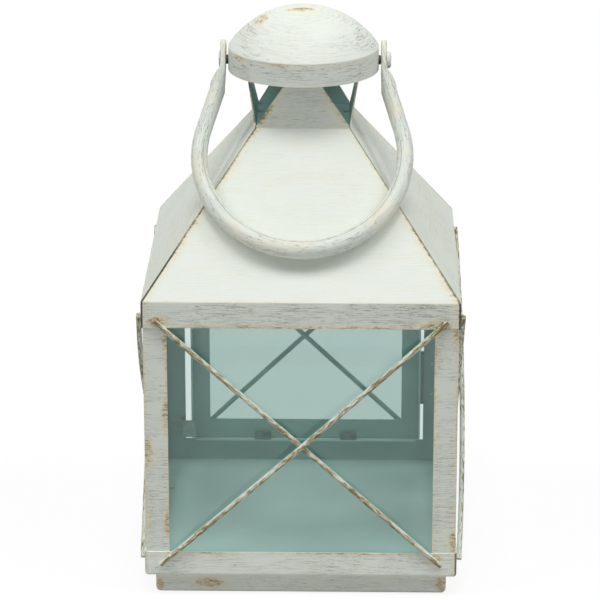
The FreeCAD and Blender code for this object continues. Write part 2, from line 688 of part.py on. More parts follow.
def pieces():
    named = {"foot_plinth": foot_plinth(), "base_tray": base_tray(), "cap": cap(), "handle": handle()}

    latch_leg = post_face - door_half - LATCH_GAP
    hinge_leg = post_face - door_half - HINGE_GAP
    named["corner_post_front_left"] = corner_post(-1, -1, POST_W)
    named["corner_post_front_right"] = corner_post(1, -1, POST_W)
    named["corner_post_back_left"] = corner_post(-1, 1, latch_leg).cut(latch_hole())
    named["corner_post_back_right"] = corner_post(1, 1, hinge_leg).cut(tack_holes(1))

    plain_panel = roof_panel(False)
    lapped_panel = roof_panel(True)
    named["roof_panel_front"] = plain_panel
    named["roof_panel_back"] = turned(plain_panel, 180)
    named["roof_panel_left"] = turned(lapped_panel, -90)
    named["roof_panel_right"] = turned(lapped_panel, 90)

    for name, side, head_h in (("left", -1, RIVET_FLUSH_H), ("right", 1, RIVET_HEAD_H)):
        named["handle_rivet_" + name] = handle_rivet(side, head_h)
        named["handle_spacer_" + name] = handle_spacer(side)
        named[name + "_glass"] = side_pane(side)
    named["front_glass"] = front_pane()

    rods = front_rods()
    for name, degrees in (("front", 0), ("left", -90), ("right", 90)):
        named[name + "_wire_a"] = turned(rods[0], degrees)
        named[name + "_wire_b"] = turned(rods[1], degrees)
        named[name + "_glass_clips"] = turned(pane_clips(), degrees)

    named["door_frame"] = door_frame()
    named["door_glass"] = door_glass()
    named["door_glass_clips"] = door_clips()
    named["door_wire_a"], named["door_wire_b"] = door_rods()
    named["door_stop_tabs"] = door_stops()
    for name, z_mid in (("lower", z_door_mid - HINGE_SPREAD), ("upper", z_door_mid + HINGE_SPREAD)):
        named[name + "_hinge_door_leaf"] = hinge_leaf(-1, z_mid)
        named[name + "_hinge_post_leaf"] = hinge_leaf(1, z_mid)
        named[name + "_hinge_pin"] = hinge_pin(z_mid)
    named["hinge_door_rivets"] = hinge_rivets(-1)
    named["hinge_post_rivets"] = hinge_rivets(1)

    named["latch_button"] = latch_button()
    named["latch_rivet"] = latch_rivet()
    return named


os.makedirs("parts", exist_ok=True)
for node, shape in pieces().items():
    shape.exportStep("parts/" + node + ".step")
print("handle rests", round(math.degrees(handle_rest_angle()), 2), "degrees forward of hanging")
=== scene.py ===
import json
import math

import bmesh
import bpy
from mathutils import Matrix, Vector, noise


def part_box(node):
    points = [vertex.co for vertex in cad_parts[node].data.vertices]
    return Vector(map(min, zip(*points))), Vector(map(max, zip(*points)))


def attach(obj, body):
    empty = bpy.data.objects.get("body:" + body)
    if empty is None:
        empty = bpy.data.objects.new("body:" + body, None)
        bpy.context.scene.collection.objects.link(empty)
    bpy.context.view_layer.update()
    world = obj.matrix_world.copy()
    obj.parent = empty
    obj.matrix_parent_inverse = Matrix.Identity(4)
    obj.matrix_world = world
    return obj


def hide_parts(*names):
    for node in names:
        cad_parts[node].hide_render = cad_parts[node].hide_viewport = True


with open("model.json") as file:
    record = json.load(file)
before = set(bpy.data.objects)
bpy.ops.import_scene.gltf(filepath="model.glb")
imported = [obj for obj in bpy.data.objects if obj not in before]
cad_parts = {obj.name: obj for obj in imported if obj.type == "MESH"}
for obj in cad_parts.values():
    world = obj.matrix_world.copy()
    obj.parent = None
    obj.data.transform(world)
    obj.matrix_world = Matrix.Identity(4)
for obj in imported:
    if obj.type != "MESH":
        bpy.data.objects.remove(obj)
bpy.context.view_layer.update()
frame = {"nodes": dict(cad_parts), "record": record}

# Camera

CAMERA_PLACE = (0.02976, -1.7340, 0.74826)
CAMERA_TILT = math.radians(71.0)
CAMERA_TURN = math.radians(1.05)
CAMERA_LENS = 186.24       # mm on a 36 mm sensor

# Lamps: one high above the camera, one on each side, one low in front and one behind

KEY_HEIGHT = math.radians(72)
KEY_SOFTNESS = math.radians(22)
KEY_STRENGTH = 1.24
SIDE_TURN = math.radians(70)      # away from the camera, to the left and to the right
SIDE_HEIGHT = math.radians(49)
SIDE_SOFTNESS = math.radians(28)
SIDE_STRENGTH = 0.86
FRONT_HEIGHT = math.radians(8)
FRONT_SOFTNESS = math.radians(60)
FRONT_STRENGTH = 0.30
BACK_HEIGHT = math.radians(49)
BACK_SOFTNESS = math.radians(60)
BACK_STRENGTH = 0.50

# Sky and floor

PURE_WHITE = (1, 1, 1, 1)
SKY_STRENGTH = 0.165       # for the rays that light the object
FLOOR_HALF = 6.0
FLOOR_DROP = 0.0002        # below the lantern's foot
FLOOR_BOUNCE = 0.52        # grey level of the floor for light that bounces off it
FLOOR_GLOW = 0.87          # share of plain white in the floor as seen, which softens the shadow

# Places on the lantern, in metres

SKIRT_H = 0.0153
ROOF_RISE = 0.0839
NECK_HALF = 0.0273
TAB_TAPER = math.radians(32.3)
CAP_BAND = 0.0136
DOME_R = 0.05213
DOME_Z = 0.27697           # centre of the dome's sphere
INNER_Z = 0.1              # faces that look towards the axis at this height are inner ones
INNER_RISE = 0.15          # weight of height against distance from the axis in that test

handle_joint = next(j for j in frame["record"]["behaviour"]["joints"] if j["name"] == "handle_swing")
pivot_z = handle_joint["pos_m"][2]
foot_top_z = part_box("base_tray")[0][2]
rim_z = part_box("base_tray")[1][2]
skirt_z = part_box("roof_panel_front")[0][2]
eave_z = skirt_z + SKIRT_H
neck_z = eave_z + ROOF_RISE
hem_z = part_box("cap")[0][2]
band_z = hem_z + CAP_BAND
cap_top_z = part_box("cap")[1][2]
post_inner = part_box("corner_post_front_right")[0][0]
door_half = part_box("door_frame")[1][0]

# Handle, hanging straight down from its pivot, in metres

HANDLE_REST = math.radians(41.62)
FLAT_X = 0.04625
FLAT_T = 0.0033
FLAT_W = 0.0112
FLAT_END = 0.0120
FLAT_END_R = 0.0064
FLAT_EDGE_R = 0.0018
FLAT_SQUARENESS = 6
MORPH_L = 0.013
ARM_BEND = 0.0095
ARM_BEND_R = 0.018
ARM_TUBE_R = 0.0046
BOW_TUBE_R = 0.0054
BOW_R = 0.0585
BOW_DROP = 0.0609
SEAM_ANGLE = math.radians(211)    # rolled seam, on the inner side of the bow's face
SEAM_HALF = math.radians(2.4)
SEAM_DEPTH = 0.0004
SEAM_FADE = 0.020
SEAM_SHADE = 1.6           # width of the painted shade along the seam, as a multiple of the seam's width
HANDLE_SIDES = 48
HANDLE_RINGS = 90
TIP_ANGLES = (6, 14, 24, 36, 50, 66, 84)    # sections of the rounded tip, in degrees from its top
FLAT_STEPS = 6             # steps from the rounded tip to where the tube begins

arm_reach = math.hypot(FLAT_X, BOW_DROP - ARM_BEND)
bow_lean = math.atan2(BOW_DROP - ARM_BEND, FLAT_X) - math.acos(BOW_R / arm_reach)
flat_low = ARM_BEND_R * math.tan(bow_lean / 2) - ARM_BEND
bend_length = ARM_BEND_R * bow_lean
arm_length = math.sqrt(arm_reach ** 2 - BOW_R ** 2) - ARM_BEND_R * math.tan(bow_lean / 2)
half_bow_length = BOW_R * (bow_lean + math.pi / 2)

# Welds at the upper ends of the rods, in metres

WELD_R = 0.0024
WELD_T = 0.0011
WELD_SINK = 0.0012         # from the rod's middle towards the sheet
WELD_PLACE = 0.99          # share of the way from a rod's middle to its end
WELD_LUMPS = 700.0         # lumps for each metre of a weld
WELD_UNEVEN = 0.35         # share of its size that a lump adds or takes
WELD_APART = 1000.0        # moves the lumps on from weld to weld, for each metre between them
WELD_FINENESS = 3

# Colours, linear

WHITE = (0.725, 0.775, 0.71, 1)
CREAM = (0.735, 0.758, 0.665, 1)
# painted light: the whiter tone laid on faces to brighten them, also used for the painted highlight at
# the cap's fold
PAINTED_LIGHT_WHITE = (0.835, 0.878, 0.81, 1)
GREY = (0.34, 0.36, 0.325, 1)
# dark flecks and cracks, and the painted shade along the handle's seam
SOOT_AND_SHADE = (0.09, 0.09, 0.072, 1)
PEACH = (0.82, 0.745, 0.565, 1)
TAN = (0.62, 0.52, 0.295, 1)
BROWN = (0.225, 0.17, 0.085, 1)
ROD_TAN = (0.46, 0.395, 0.20, 1)
ROD_BROWN = (0.18, 0.14, 0.05, 1)
# painted shade in the open joints between sheets
JOINT_SHADE = (0.02, 0.02, 0.018, 1)
INSIDE = (0.46, 0.635, 0.61, 1)
INSIDE_DARK = (0.388, 0.545, 0.518, 1)
# painted light: paler teal for inner faces that lie flat, for the door's inner side and on the door's
# rods
INSIDE_PAINTED_LIGHT = (0.74, 0.925, 0.875, 1)
INSIDE_PAINTED_LIGHT_DARK = (0.625, 0.805, 0.76, 1)
CLIP = (0.17, 0.24, 0.22, 1)
CLIP_LIGHT = (0.27, 0.36, 0.33, 1)
# painted shade: darker teal on the door's stop tabs
STOP_TAB_SHADE = (0.40, 0.52, 0.48, 1)
STOP_TAB_SHADE_LIGHT = (0.48, 0.61, 0.565, 1)
STEEL = (0.02, 0.02, 0.018, 1)
STEEL_WORN = (0.07, 0.068, 0.06, 1)
PANE = (0.62, 0.72, 0.695, 1)
PANE_DEEP = (0.59, 0.70, 0.675, 1)
PASSING = (0.97, 0.985, 0.98, 1)   # light that reaches the inside through a pane's face

# Gloss of each finish, and depth of its relief in metres

PAINT_GLOSS = 0.28
PAINT_DEPTH = 0.00012
HANDLE_GLOSS = 0.35
HANDLE_DEPTH = 0.00010
ROD_GLOSS = 0.3
ROD_DEPTH = 0.00020
WELD_GLOSS = 0.25
WELD_DEPTH = 0.00025
CLIP_GLOSS = 0.25
CLIP_DEPTH = 0.00010
STEEL_GLOSS = 0.5
STEEL_DEPTH = 0.00010
PANE_DEPTH = 0.0002
PANE_RIPPLE = 0.15         # strength of the pane's relief
PANE_IOR = 1.45
FLECK_RELIEF = 0.6         # height of a fleck, where a brush streak's is 1
CORE_RELIEF = -0.8         # height of a spot that is worn through

# Roughness of each finish: its least, and what its noise adds at most

PAINT_ROUGHNESS = (0.50, 0.18)
HANDLE_ROUGHNESS = (0.42, 0.2)
ROD_ROUGHNESS = (0.45, 0.3)
WELD_ROUGHNESS = (0.5, 0.3)
CLIP_ROUGHNESS = (0.45, 0.3)
STEEL_ROUGHNESS = (0.35, 0.3)
PANE_ROUGHNESS = (0.0, 0.03)
CORE_ROUGHNESS = 0.15      # added where the paint is worn through

# How much of each mark shows where it is strongest, 0 to 1

PAINTED_LIGHT_SHARE = 0.75
STAIN_SHARE = 0.20
STROKE_SHARE = 0.48
FLECK_SHARE = 0.48
CRACK_SHARE = 0.55
HALO_SHARE = 0.62
TAN_SHARE = 0.65
BROWN_SHARE = 0.85
JOINT_SHADE_SHARE = 0.95
FAINT_JOINT_SHARE = 0.30   # of an open joint's share, along the hips
TRAY_JOINT_SHARE = 0.8     # of an open joint's share, on the tray
# painted highlight along the cap's fold
PAINTED_HIGHLIGHT_SHARE = 0.85
HANDLE_STROKE_SHARE = 0.50
HANDLE_FLECK_SHARE = 0.62
HANDLE_WARM_SHARE = 0.32
HANDLE_TAN_SHARE = 0.6
HANDLE_BROWN_SHARE = 0.7
HANDLE_SEAM_SHADE_SHARE = 0.7
ROD_SHARE = 0.9

# How worn each edge and spot is, where 1 is most

HIP_HALO_WEAR = 0.62
HIP_LINE_WEAR = 0.94
SKIRT_HEM_WEAR = 0.85
EAVE_WEAR = 0.5
RIM_WEAR = 0.85
TRAY_LOW_WEAR = 0.6
TRAY_CORNER_WEAR = 0.75
FOOT_LOW_WEAR = 0.65
FOOT_CORNER_WEAR = 0.7
POST_EDGE_WEAR = 0.72
DOME_TOP_WEAR = 0.45
CAP_HEM_WEAR = 0.55
CAP_FOLD_WEAR = 0.55
DOOR_EDGE_WEAR = 0.8
SPOT_WEAR = 0.82
EVEN_WEAR = 0.55           # share of an edge's wear that is the same all along it
PATCHY_WEAR = 0.45         # share of it that comes and goes in patches
GRAIN_WEAR = 0.7           # what the grain adds to it at most

# What adds up to the wear of the handle and of the rods, and to the painted shade under the rods

HANDLE_END_WEAR = 0.18
HANDLE_EDGE_WEAR = 0.22
HANDLE_STREAK_WEAR = 0.6
ROD_END_WEAR = 0.07
ROD_FACE_WEAR = 0.10
ROD_UNDER_SHADE = 0.05
ROD_STREAK_WEAR = 1.4
ROD_TONE_WEAR = 0.4

# How strong the brush streaks are, where 1 is usual

SKIRT_STROKES = 1.5
EAVE_STROKES = 0.8         # added below the fold of the eave
SIDE_SLOPE_STROKES = 0.34
SLOPE_STROKES = 0.10
TAB_STROKES = 0.7
FOOT_STROKES = 0.6
POST_STROKES = 0.55
POST_EDGE_STROKES = 0.95   # added at both edges of a post
CAP_STROKES = 0.4
CAP_SIDE_STROKES = 1.1     # added towards the sides of the dome
CAP_BAND_SHARE = 0.7       # share of those that the band has all round

# From where to where a noise value turns a mark on

TONE_RANGE = (0.45, 0.75)
STAIN_RANGE = (0.50, 0.68)
STROKE_RANGE = (0.46, 0.68)
STROKE_DRY_RANGE = (0.30, 0.56)
FLECK_RANGE = (0.56, 0.66)
FLECK_DRY_RANGE = (0.36, 0.54)
CRACK_LEVEL = 0.5          # cracks run where the noise has this value
CRACK_HALF = 0.016
CRACK_AREA_RANGE = (0.46, 0.58)
GRAIN_RANGE = (0.30, 0.70)
PATCH_RANGE = (0.38, 0.60)
INSIDE_TONE_RANGE = (0.35, 0.65)
HANDLE_TONE_RANGE = (0.50, 0.75)
HANDLE_STROKE_RANGE = (0.44, 0.70)
HANDLE_STROKE_DRY_RANGE = (0.30, 0.58)
HANDLE_FLECK_RANGE = (0.55, 0.66)
HANDLE_WARM_RANGE = (0.46, 0.62)
ROD_TEAL_RANGE = (0.40, 0.60)
WELD_RANGE = (0.46, 0.70)
CLIP_RANGE = (0.40, 0.62)
LEFT_PAINT_RANGE = (0.72, 0.98)    # for the sum of two noises

# From where to where wear turns a colour on

HALO_RANGE = (0.0, 0.8)
TAN_RANGE = (0.80, 1.30)
CORE_RANGE = (1.08, 1.50)
HANDLE_TAN_RANGE = (0.58, 0.92)
HANDLE_BROWN_RANGE = (0.86, 1.10)
ROD_TAN_RANGE = (0.90, 0.97)
ROD_BROWN_RANGE = (0.98, 1.05)

# From where to where a part of the normal turns a colour on

LYING_PAINTED_LIGHT_RANGE = (0.5, 0.9)           # upward part, on faces that lie flat, which get painted light
ROD_INWARD_RANGE = (0.35, 0.0)     # backward part, on the inner side of the door's rods

# Reach of worn and streaked bands to each side of an edge, in metres

TAB_EDGE_REACH = 0.008
HIP_HALO_REACH = 0.0105
HIP_LINE_REACH = 0.0028
HIP_LINE_FULL = 0.0008     # where the line is at its strongest
SKIRT_HEM_REACH = 0.0040
EAVE_REACH = 0.0018
EAVE_STREAK_DROP = 0.0020  # from the eave down to the middle of its streaks
EAVE_STREAK_REACH = 0.0022
RIM_REACH = 0.0036
TRAY_LOW_REACH = 0.0022
TRAY_CORNER_REACH = 0.006
FOOT_LOW_REACH = 0.0030
FOOT_CORNER_REACH = 0.010
POST_INNER_REACH = 0.0050
POST_OUTER_REACH = 0.0045
POST_INNER_STREAKS = 0.0075
POST_OUTER_STREAKS = 0.0085
DOME_TOP_REACH = 0.0035
CAP_HEM_REACH = 0.0018
CAP_FOLD_DROP = 0.0016     # from the fold down to the middle of its worn band
CAP_FOLD_REACH = 0.0014
# painted highlight along the cap's fold
CAP_PAINTED_HIGHLIGHT_REACH = 0.0011
DOOR_EDGE_REACH = 0.003

# From where to where a mask goes from 0 to 1, in metres

FAINT_JOINT = (0.0011, 0.0003)
OPEN_JOINT = (0.0015, 0.0007)
TRAY_JOINT = (0.0014, 0.0006)
OPEN_HIP = (0.034, 0.020)  # above the eave
DOME_SIDES = (0.012, 0.036)

# How far the change from one area to the next reaches, in metres

TAB_CHANGE = 0.004
SOFT_CHANGE = 0.001
INWARD_CHANGE = 0.0008
FAIR_CHANGE = 0.0005
SHARP_CHANGE = 0.0002
OPPOSITE_CHANGE = 0.0001   # square metres, because it is compared with x times y

# Cells of the paint's marks for each metre, and how many times finer they are down a sheet

STROKE_CELLS = 75.0
STROKE_FINENESS = 20.0
FLECK_CELLS = 200.0
FLECK_FINENESS = 9.0
CRACK_CELLS = 48.0
CRACK_FINENESS = 16.0
GRAIN_CELLS = (260.0, 260.0, 800.0)
STAIN_CELLS = (55.0, 55.0, 190.0)
DRY_CELLS = (34.0, 34.0, 90.0)
TONE_CELLS = 14.0
PATCH_CELLS = 26.0

# Cells for each metre along, out from and deep into the handle, and across and along a rod

HANDLE_TONE_CELLS = 30.0
HANDLE_DRY_CELLS = (45.0, 120.0, 120.0)
HANDLE_STROKE_CELLS = (90.0, 800.0, 800.0)
HANDLE_FLECK_CELLS = (260.0, 1500.0, 1500.0)
ROD_ACROSS_CELLS = (1500.0, 1500.0, 1500.0)
ROD_ALONG_CELLS = 210.0
ROD_TONE_CELLS = 55.0

# Cells for each metre on welds, small pieces and panes

WELD_CELLS = 500.0
CLIP_CELLS = 320.0
STEEL_CELLS = 420.0
STEEL_TONE_CELLS = 130.0
RIPPLE_CELLS = 22.0
SPECK_CELLS = 260.0

# Shares of a length at which the handle's and the rods' wear changes

HANDLE_WORN_FROM = 0.55    # of the half bow, from its middle
HANDLE_SEAM_FADE = 0.85    # of the half bow, from its middle
HANDLE_EDGE = (0.30, 0.50)   # of the flat end's width, from its middle
ROD_WORN_FROM = 0.80       # of the half rod, from its middle

# Worn places in metres, each with its half width, depth and height

SPOT_CORE = 0.2            # share of the half sizes within which a place is fully worn
ROOF_SPOTS = (
    ((0.0740, -0.0900, 0.1665), (0.016, 0.01, 0.006)),
    ((-0.0810, -0.0900, 0.1685), (0.012, 0.01, 0.006)),
    ((-0.0300, -0.0900, 0.1652), (0.032, 0.01, 0.003)),
    ((0.0300, -0.0900, 0.1652), (0.022, 0.01, 0.003)),
)
POST_SPOTS = (
    ((0.0885, -0.0892, 0.1600), (0.006, 0.01, 0.011)),
    ((0.0880, -0.0892, 0.0350), (0.006, 0.01, 0.014)),
    ((-0.0766, -0.0892, 0.1560), (0.004, 0.01, 0.010)),
    ((-0.0766, -0.0892, 0.1130), (0.005, 0.01, 0.026)),
    ((-0.0875, -0.0892, 0.0900), (0.007, 0.01, 0.018)),
    ((-0.0766, -0.0892, 0.0450), (0.004, 0.01, 0.016)),
)
TRAY_SPOTS = (
    ((0.0773, -0.0900, 0.0245), (0.008, 0.01, 0.006)),
    ((-0.0500, -0.0900, 0.0282), (0.024, 0.01, 0.003)),
    ((0.0052, -0.0900, 0.0282), (0.030, 0.01, 0.0025)),
)
FOOT_SPOTS = (
    ((-0.0529, -0.0842, 0.0065), (0.017, 0.01, 0.007)),
    ((-0.0825, -0.0842, 0.0050), (0.007, 0.01, 0.010)),
    ((0.0815, -0.0842, 0.0063), (0.007, 0.01, 0.010)),
)
CAP_SPOTS = (
    ((-0.0012, -0.0060, 0.3287), (0.016, 0.008, 0.006)),
    ((-0.0245, -0.0060, 0.3225), (0.010, 0.014, 0.006)),
    ((-0.0367, -0.0230, 0.3042), (0.010, 0.012, 0.004)),
    ((-0.0124, -0.0415, 0.3046), (0.012, 0.010, 0.003)),
)


class Graph:
    """Node tree of a material or world. A value is a number, colour, vector or another node's socket."""

    def __init__(self, owner):
        owner.use_nodes = True
        self.owner = owner
        self.tree = owner.node_tree
        self.tree.nodes.clear()

    def feed(self, socket, value):
        if isinstance(value, bpy.types.NodeSocket):
            self.tree.links.new(value, socket)
        else:
            socket.default_value = value

    def node(self, kind, values=None, **settings):
        made = self.tree.nodes.new(kind)
        for key, value in settings.items():
            setattr(made, key, value)
        for key, value in (values or {}).items():
            self.feed(made.inputs[key], value)
        return made

    def math(self, operation, *values):
        return self.node("ShaderNodeMath", dict(enumerate(values)), operation=operation).outputs[0]

    def chain(self, operation, values):
        total = values[0]
        for value in values[1:]:
            total = self.math(operation, total, value)
        return total

    def times(self, *values):
        return self.chain("MULTIPLY", values)

    def add(self, *values):
        return self.chain("ADD", values)

    def most(self, *values):
        return self.chain("MAXIMUM", values)

    def uneven(self, value, least, more):
        """The least where value is 0, with more added where it is 1."""
        return self.add(least, self.times(value, more))

    def size(self, value):
        return self.math("ABSOLUTE", value)

    def split(self, vector):
        return self.node("ShaderNodeSeparateXYZ", {0: vector}).outputs

    def vector(self, x, y, z):
        return self.node("ShaderNodeCombineXYZ", {0: x, 1: y, 2: z}).outputs[0]

    def vectors(self, operation, first, second):
        return self.node("ShaderNodeVectorMath", {0: first, 1: second}, operation=operation).outputs

    def scaled(self, vector, scale):
        return self.vectors("MULTIPLY", vector, scale)["Vector"]

    def dot(self, first, second):
        return self.vectors("DOT_PRODUCT", first, second)["Value"]

    def noise(self, vector, scale=1.0, detail=2.0, roughness=0.5):
        values = {"Vector": vector, "Scale": scale, "Detail": detail, "Roughness": roughness}
        return self.node("ShaderNodeTexNoise", values).outputs[0]

    def step(self, value, start, end):
        """0 at start, 1 at end and smooth between them, in either direction."""
        values = {"Value": value, "From Min": start, "From Max": end}
        return self.node("ShaderNodeMapRange", values, interpolation_type="SMOOTHSTEP").outputs[0]

    def near(self, value, place, reach):
        """1 where value is at a place, 0 from reach away from it on."""
        return self.step(self.size(self.add(value, -place)), reach, 0.0)

    def mix(self, share, first, second):
        made = self.node("ShaderNodeMix", {0: share, 6: first, 7: second}, data_type="RGBA")
        return made.outputs[2]

    def seen(self):
        """1 for rays that show something to the camera, directly, mirrored or through glass."""
        path = self.node("ShaderNodeLightPath").outputs
        return self.most(path["Is Camera Ray"], path["Is Glossy Ray"], path["Is Transmission Ray"])


class Surface(Graph):
    """Node tree of a new material on the lantern, with its place and normal in the lantern's frame."""

    def __init__(self, name):
        super().__init__(bpy.data.materials.new(name))
        place = self.node("ShaderNodeTexCoord")
        self.point = place.outputs["Object"]
        self.normal = place.outputs["Normal"]
        self.x, self.y, self.z = self.split(self.point)

    def spots(self, places):
        """1 in the middle of each place, 0 from its half sizes away on."""
        masks = []
        for middle, half in places:
            scale = tuple(1 / size for size in half)
            centre = tuple(place / size for place, size in zip(middle, half))
            away = self.vectors("DISTANCE", self.scaled(self.point, scale), centre)["Value"]
            masks.append(self.step(away, 1.0, SPOT_CORE))
        return self.most(*masks)

    def painted(self, colour, roughness, height, depth, gloss):
        """Ends the tree in a principled surface and returns the material."""
        bump = self.node("ShaderNodeBump", {"Height": height, "Distance": depth})
        values = {"Base Color": colour, "Roughness": roughness, "Normal": bump.outputs[0],
                  "Specular IOR Level": gloss}
        shader = self.node("ShaderNodeBsdfPrincipled", values)
        self.node("ShaderNodeOutputMaterial", {0: shader.outputs[0]})
        return self.owner


# Where the paint is rubbed off, where the brush left streaks, and where light and shade are painted

def sideways(g):
    """Positive on the left and right sides, negative on the front and back, 0 on corners and hips."""
    return g.add(g.size(g.x), g.times(g.size(g.y), -1))


def corner(g):
    """0 along the lantern's four corners and hips, growing to both sides."""
    return g.size(sideways(g))


def lateral(g):
    """Distance from the middle of a side, along it."""
    return g.math("MINIMUM", g.size(g.x), g.size(g.y))


def level(g):
    """Height, which brush strokes follow."""
    return g.z


def dome_level(g):
    """Length down the dome from its top, which strokes on the cap follow."""
    across = g.math("SQRT", g.add(g.times(g.x, g.x), g.times(g.y, g.y)))
    return g.times(g.math("ARCTAN2", across, g.add(g.z, -DOME_Z)), DOME_R)


def nowhere(g):
    return 0.0


def all_over(g):
    return 1.0


def roof_wear(g):
    """Edges of the neck tabs, hips, hem of the skirt and fold of the eave."""
    tab_half = g.add(NECK_HALF + neck_z * math.tan(TAB_TAPER), g.times(g.z, -math.tan(TAB_TAPER)))
    tab_edge = g.near(g.add(tab_half, g.times(lateral(g), -1)), 0.0, TAB_EDGE_REACH)
    tab = g.times(tab_edge, g.step(g.z, neck_z, neck_z + TAB_CHANGE))
    halo = g.times(g.step(corner(g), HIP_HALO_REACH, 0.0), HIP_HALO_WEAR)
    line = g.times(g.step(corner(g), HIP_LINE_REACH, HIP_LINE_FULL), HIP_LINE_WEAR)
    hip = g.times(g.most(halo, line), g.step(g.z, neck_z + TAB_CHANGE, neck_z))
    hem = g.times(g.near(g.z, skirt_z, SKIRT_HEM_REACH), SKIRT_HEM_WEAR)
    fold = g.times(g.near(g.z, eave_z, EAVE_REACH), EAVE_WEAR)
    return g.most(tab, hip, hem, fold)


def roof_strokes(g):
    """Many streaks on the skirt, some on the side slopes, few on the front and back slopes."""
    skirt = g.step(g.z, eave_z + SHARP_CHANGE, eave_z - SHARP_CHANGE)
    under_fold = g.near(g.z, eave_z - EAVE_STREAK_DROP, EAVE_STREAK_REACH)
    sides = g.step(sideways(g), -SOFT_CHANGE, SOFT_CHANGE)
    tabs = g.step(g.z, neck_z - FAIR_CHANGE, neck_z + FAIR_CHANGE)
    slopes = g.most(g.times(sides, SIDE_SLOPE_STROKES), g.times(tabs, TAB_STROKES), SLOPE_STROKES)
    return g.most(slopes, g.times(skirt, g.uneven(under_fold, SKIRT_STROKES, EAVE_STROKES)))


def roof_painted_light(g):
    """Painted light: whiter paint on the front and back slopes than on the side slopes."""
    ends = g.step(sideways(g), SOFT_CHANGE, -SOFT_CHANGE)
    above_eave = g.step(g.z, eave_z - SHARP_CHANGE, eave_z + SHARP_CHANGE)
    below_neck = g.step(g.z, neck_z, neck_z - FAIR_CHANGE)
    return g.times(ends, above_eave, below_neck)


def roof_joint_shade(g):
    """Painted shade in the joints of the roof panels: faint along the hips, open at the skirt and low on
    two opposite hips.
    """
    faint = g.times(g.step(corner(g), *FAINT_JOINT), FAINT_JOINT_SHARE)
    skirt = g.step(g.z, eave_z + FAIR_CHANGE, eave_z - FAIR_CHANGE)
    low = g.step(g.z, *(eave_z + rise for rise in OPEN_HIP))
    opposite = g.step(g.times(g.x, g.y), 0.0, OPPOSITE_CHANGE)
    open_joint = g.times(g.step(corner(g), *OPEN_JOINT), g.most(skirt, g.times(low, opposite)))
    return g.most(faint, open_joint)


def tray_wear(g):
    rim = g.times(g.near(g.z, rim_z, RIM_REACH), RIM_WEAR)
    low = g.times(g.near(g.z, foot_top_z, TRAY_LOW_REACH), TRAY_LOW_WEAR)
    return g.most(rim, low, g.times(g.step(corner(g), TRAY_CORNER_REACH, 0.0), TRAY_CORNER_WEAR))


def tray_joint_shade(g):
    """Painted shade in the open joints at the tray's two right-hand corners."""
    return g.times(g.step(corner(g), *TRAY_JOINT), g.step(g.x, 0.0, SOFT_CHANGE), TRAY_JOINT_SHARE)


def foot_wear(g):
    edge = g.times(g.near(g.z, 0.0, FOOT_LOW_REACH), FOOT_LOW_WEAR)
    return g.most(edge, g.times(g.step(corner(g), FOOT_CORNER_REACH, 0.0), FOOT_CORNER_WEAR))


def foot_strokes(g):
    """Few streaks, all round the foot."""
    return FOOT_STROKES


def post_wear(g):
    inner = g.times(g.near(lateral(g), post_inner, POST_INNER_REACH), POST_EDGE_WEAR)
    outer = g.times(g.step(corner(g), POST_OUTER_REACH, 0.0), POST_EDGE_WEAR)
    return g.most(inner, outer)


def post_strokes(g):
    """Ticks that start from both edges of a post."""
    inner = g.near(lateral(g), post_inner, POST_INNER_STREAKS)
    outer = g.step(corner(g), POST_OUTER_STREAKS, 0.0)
    return g.uneven(g.most(inner, outer), POST_STROKES, POST_EDGE_STROKES)


def cap_wear(g):
    top = g.times(g.step(g.z, cap_top_z - DOME_TOP_REACH, cap_top_z), DOME_TOP_WEAR)
    hem = g.times(g.near(g.z, hem_z, CAP_HEM_REACH), CAP_HEM_WEAR)
    under_fold = g.times(g.near(g.z, band_z - CAP_FOLD_DROP, CAP_FOLD_REACH), CAP_FOLD_WEAR)
    return g.most(top, hem, under_fold)


def cap_strokes(g):
    """More streaks towards the sides of the dome and on the band."""
    sides = g.step(g.size(g.x), *DOME_SIDES)
    band = g.step(g.z, band_z, band_z - SOFT_CHANGE)
    return g.uneven(g.most(sides, g.times(band, CAP_BAND_SHARE)), CAP_STROKES, CAP_SIDE_STROKES)


def cap_painted_light(g):
    """Painted light: whiter paint on the dome than on the band."""
    return g.step(g.z, band_z, band_z + SOFT_CHANGE)


def door_wear(g):
    return g.times(g.near(g.size(g.x), door_half, DOOR_EDGE_REACH), DOOR_EDGE_WEAR)


# Paint of the sheet pieces

def brush_place(g, fall, fineness):
    """Place on a sheet, with the way down it made finer."""
    return g.vector(g.x, g.y, g.times(fall, fineness))


def brushed(g, colour, slow, fall, amount):
    """Adds grey streaks, dark flecks and fine cracks. Returns the colour, the streaks and the flecks."""
    strokes = g.noise(brush_place(g, fall, STROKE_FINENESS), STROKE_CELLS, detail=4, roughness=0.7)
    flecks = g.noise(brush_place(g, fall, FLECK_FINENESS), FLECK_CELLS, detail=3, roughness=0.7)
    cracks = g.noise(brush_place(g, fall, CRACK_FINENESS), CRACK_CELLS, detail=5, roughness=0.62)
    dry = g.noise(g.scaled(g.point, DRY_CELLS), detail=3)
    stroke = g.times(g.step(strokes, *STROKE_RANGE), g.step(dry, *STROKE_DRY_RANGE), amount, STROKE_SHARE)
    colour = g.mix(stroke, colour, GREY)
    fleck = g.times(g.step(flecks, *FLECK_RANGE), g.step(dry, *FLECK_DRY_RANGE), amount, FLECK_SHARE)
    colour = g.mix(fleck, colour, SOOT_AND_SHADE)
    crack_line = g.near(cracks, CRACK_LEVEL, CRACK_HALF)
    crack = g.times(crack_line, g.step(slow, *CRACK_AREA_RANGE), amount, CRACK_SHARE)
    colour = g.mix(crack, colour, SOOT_AND_SHADE)
    return colour, strokes, flecks


